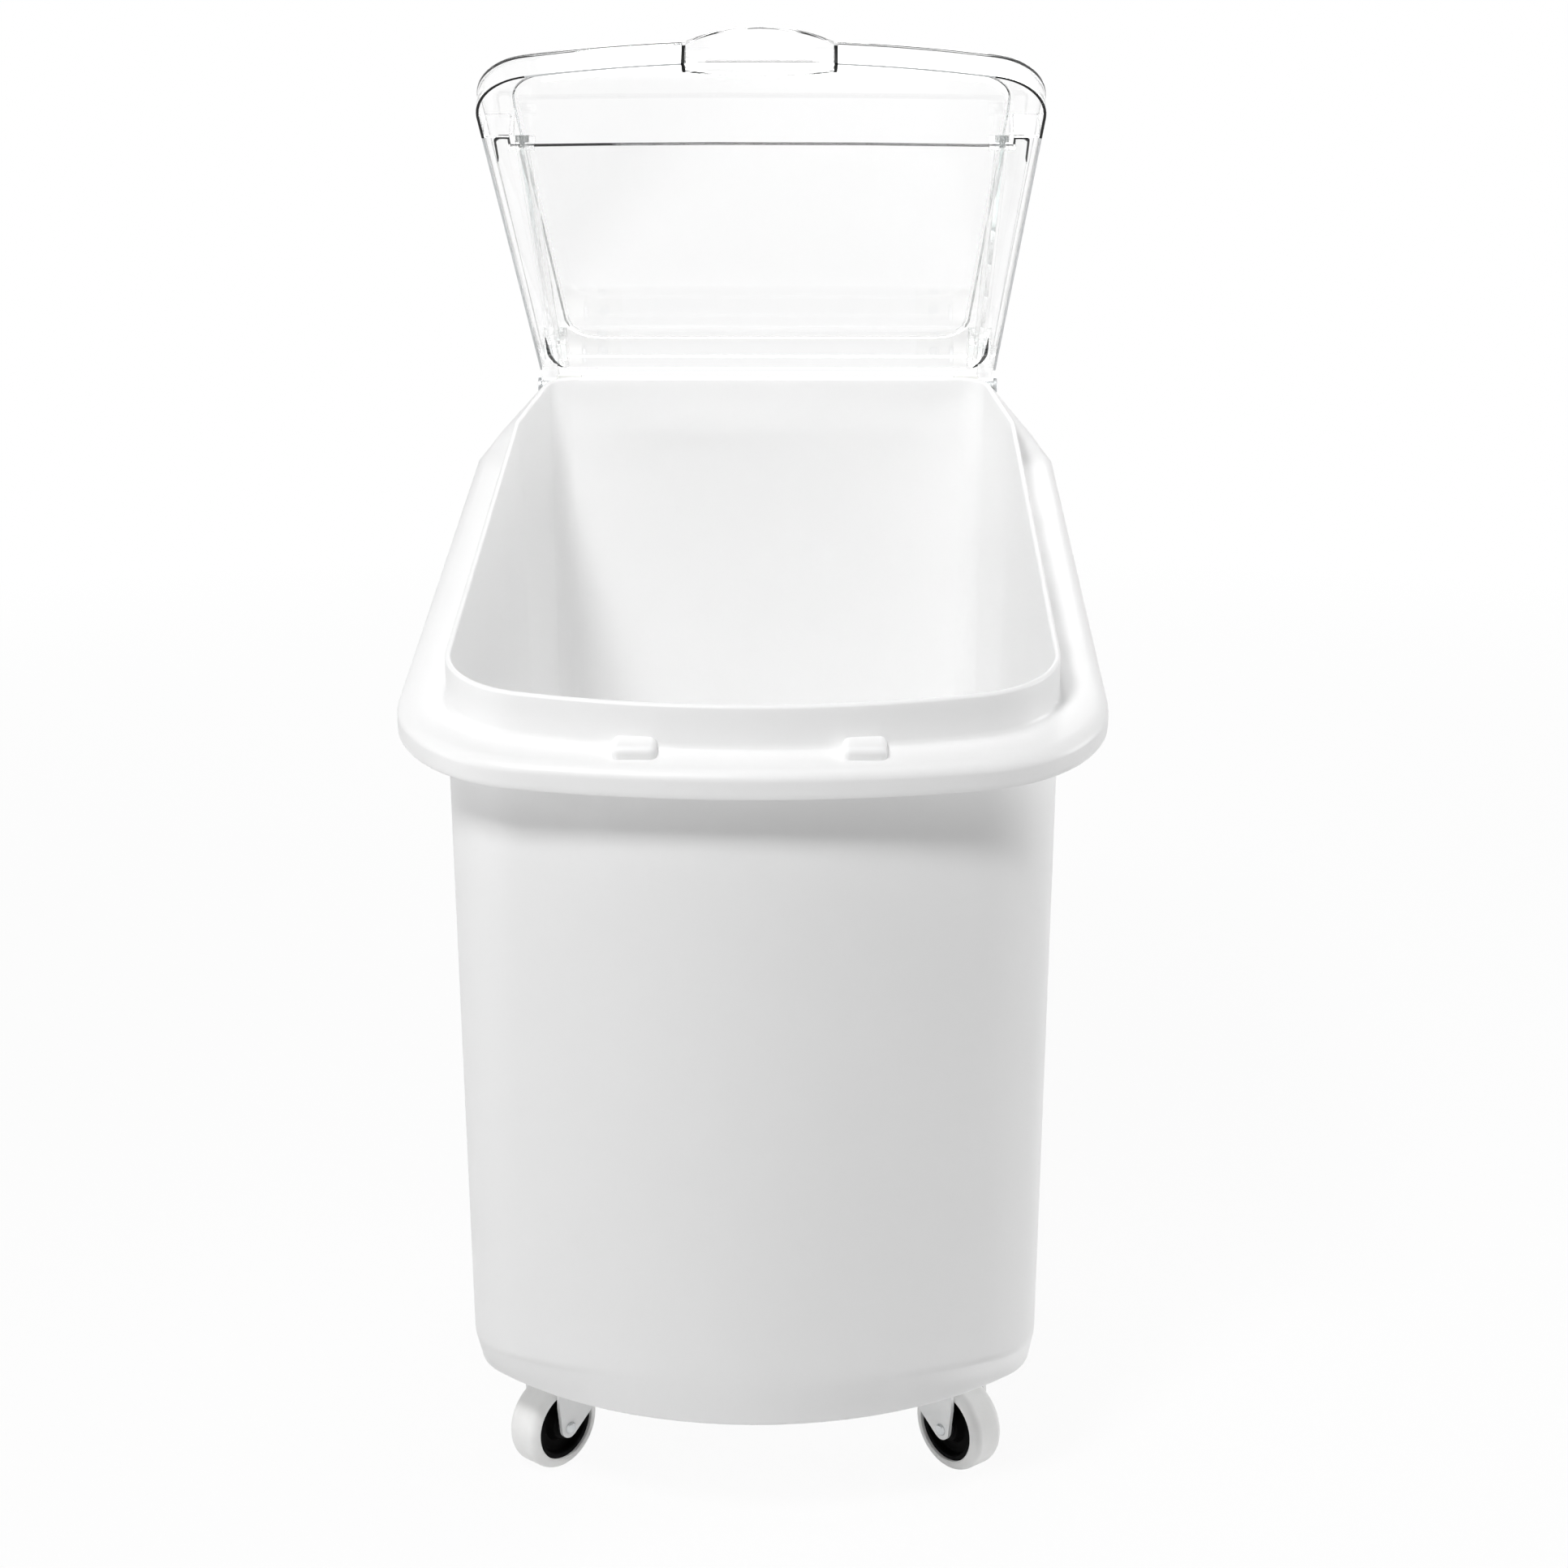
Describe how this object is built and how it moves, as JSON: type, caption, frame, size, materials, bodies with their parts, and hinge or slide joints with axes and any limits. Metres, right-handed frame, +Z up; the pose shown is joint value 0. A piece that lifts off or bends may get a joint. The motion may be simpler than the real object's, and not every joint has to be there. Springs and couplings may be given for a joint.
{
  "type": "rolling flour bin",
  "caption": "Slant-topped white plastic ingredient bin on casters, with a rolled rim and a hinged two-piece clear lid whose front half slides back for scooping.",
  "frame": {"origin": "on the ground, below the middle of the bin's overall depth and width", "axes": "+X to the bin's right seen from the front, -Y towards its low front, +Z up"},
  "size_m": [0.465, 0.75, 0.999],
  "materials": {
    "white_moulded_plastic": "satin, slightly grained moulding",
    "clear_polycarbonate": "clear, polished",
    "white_bearing_plastic": "smooth",
    "bright_steel": "bright zinc",
    "white_coated_steel": "thin white coat",
    "brass": "turned",
    "black_core_plastic": "smooth black moulding",
    "pale_tyre": "satin, non-marking"
  },
  "bodies": {
    "bin": {"tub": "white_moulded_plastic", "hinge_lug_left": "white_bearing_plastic", "hinge_lug_right": "white_bearing_plastic", "hinge_pin_left": "bright_steel", "hinge_pin_right": "bright_steel", "hinge_cap_left": "bright_steel", "hinge_cap_right": "bright_steel", "hinge_screws": "bright_steel", "hinge_nuts": "bright_steel", "base_inserts": "brass", "caster_screws_front": "bright_steel", "caster_screws_rear": "bright_steel", "front_left_plate": "white_coated_steel", "front_left_kingpin": "bright_steel", "front_right_plate": "white_coated_steel", "front_right_kingpin": "bright_steel", "rear_left_fork": "white_coated_steel", "rear_left_axle": "bright_steel", "rear_right_fork": "white_coated_steel", "rear_right_axle": "bright_steel"},
    "lid": {"rear_lid_panel": "clear_polycarbonate", "rail_left": "clear_polycarbonate", "rail_right": "clear_polycarbonate"},
    "slider": {"front_lid_slider": "clear_polycarbonate", "shoe_left": "clear_polycarbonate", "shoe_right": "clear_polycarbonate"},
    "front_left_caster": {"front_left_race": "bright_steel", "front_left_fork": "white_coated_steel", "front_left_axle": "bright_steel"},
    "front_left_wheel": {"front_left_bush": "bright_steel", "front_left_core": "black_core_plastic", "front_left_tyre": "pale_tyre"},
    "front_right_caster": {"front_right_race": "bright_steel", "front_right_fork": "white_coated_steel", "front_right_axle": "bright_steel"},
    "front_right_wheel": {"front_right_bush": "bright_steel", "front_right_core": "black_core_plastic", "front_right_tyre": "pale_tyre"},
    "rear_left_wheel": {"rear_left_bush": "bright_steel", "rear_left_core": "black_core_plastic", "rear_left_tyre": "pale_tyre"},
    "rear_right_wheel": {"rear_right_bush": "bright_steel", "rear_right_core": "black_core_plastic", "rear_right_tyre": "pale_tyre"}
  },
  "joints": [
    {"name": "lid_hinge", "type": "hinge", "parent": "bin", "child": "lid", "pos_m": [0, 0.332, 0.70587], "axis": [-1, 0, 0], "range_deg": [-48.5, 65]},
    {"name": "lid_slide", "type": "slide", "parent": "lid", "child": "slider", "axis": [0, -0.796, 0.6053], "range_m": [0, 0.27498]},
    {"name": "front_left_swivel", "type": "hinge", "parent": "bin", "child": "front_left_caster", "pos_m": [-0.132, -0.2175, 0.0895], "axis": [0, 0, 1], "continuous": true},
    {"name": "front_left_roll", "type": "hinge", "parent": "front_left_caster", "child": "front_left_wheel", "pos_m": [-0.14512, -0.23259, 0.0325], "axis": [0.7547, -0.6561, 0], "continuous": true},
    {"name": "front_right_swivel", "type": "hinge", "parent": "bin", "child": "front_right_caster", "pos_m": [0.132, -0.2175, 0.0895], "axis": [0, 0, 1], "continuous": true},
    {"name": "front_right_roll", "type": "hinge", "parent": "front_right_caster", "child": "front_right_wheel", "pos_m": [0.14512, -0.23259, 0.0325], "axis": [0.7547, 0.6561, 0], "continuous": true},
    {"name": "rear_left_roll", "type": "hinge", "parent": "bin", "child": "rear_left_wheel", "pos_m": [-0.122, 0.208, 0.0325], "axis": [1, 0, 0], "continuous": true},
    {"name": "rear_right_roll", "type": "hinge", "parent": "bin", "child": "rear_right_wheel", "pos_m": [0.122, 0.208, 0.0325], "axis": [1, 0, 0], "continuous": true}
  ]
}
